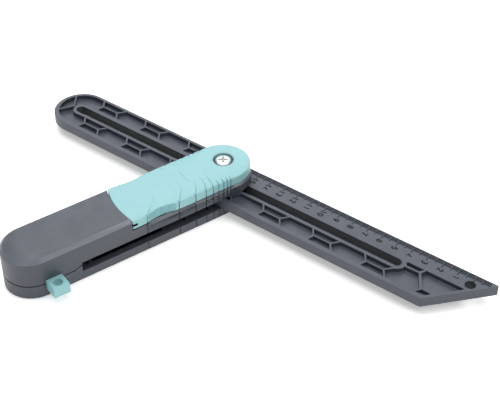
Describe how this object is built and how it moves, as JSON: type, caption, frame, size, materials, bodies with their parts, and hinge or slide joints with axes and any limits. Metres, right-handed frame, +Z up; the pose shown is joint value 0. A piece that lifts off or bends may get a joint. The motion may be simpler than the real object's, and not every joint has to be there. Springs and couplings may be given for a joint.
{
  "type": "sliding bevel",
  "caption": "Sliding bevel with a round-ended plastic handle, a slotted rule blade with a slanted tip, a swing clamp lever and a pull-out lug with a hole.",
  "frame": {"origin": "on the pivot axis, at the underside of the handle", "axes": "+Z up out of the handle's underside along the pivot axis, +X from the butt of the handle towards its pivot end, +Y to the side away from the lug"},
  "size_m": [0.2181, 0.2955, 0.0284],
  "materials": {
    "shell_plastic": "fine moulded grain, satin",
    "blade_plastic": "moulded, satin",
    "teal_plastic": "moulded, satin",
    "ring_plastic": "natural, smooth",
    "steel": "zinc plated",
    "friction": "matt"
  },
  "bodies": {
    "handle": {"upper_shell": "shell_plastic", "lower_shell": "shell_plastic", "ramp_ring": "ring_plastic", "pivot_screw": "steel", "screw_washer": "steel", "clamp_nut": "steel", "upper_disc": "friction", "lower_disc": "friction", "lug_spring": "steel", "shell_screws": "steel"},
    "lever": {"clamp_lever": "teal_plastic"},
    "guide": {"slot_guide": "steel"},
    "rule": {"blade": "blade_plastic"},
    "pull_out": {"lug": "teal_plastic"}
  },
  "joints": [
    {"name": "blade_swing", "type": "hinge", "parent": "handle", "child": "guide", "pos_m": [0, 0, 0], "axis": [0, 0, 1], "range_deg": [-87, 53]},
    {"name": "blade_slide", "type": "slide", "parent": "guide", "child": "rule", "axis": [0.304, -0.9527, 0], "range_m": [-0.119, 0.114]},
    {"name": "lever_swing", "type": "hinge", "parent": "handle", "child": "lever", "pos_m": [0, 0, 0], "axis": [0, 0, 1], "range_deg": [0, 60]},
    {"name": "lug_slide", "type": "slide", "parent": "handle", "child": "pull_out", "axis": [0, 1, 0], "range_m": [0, 0.0092]}
  ]
}
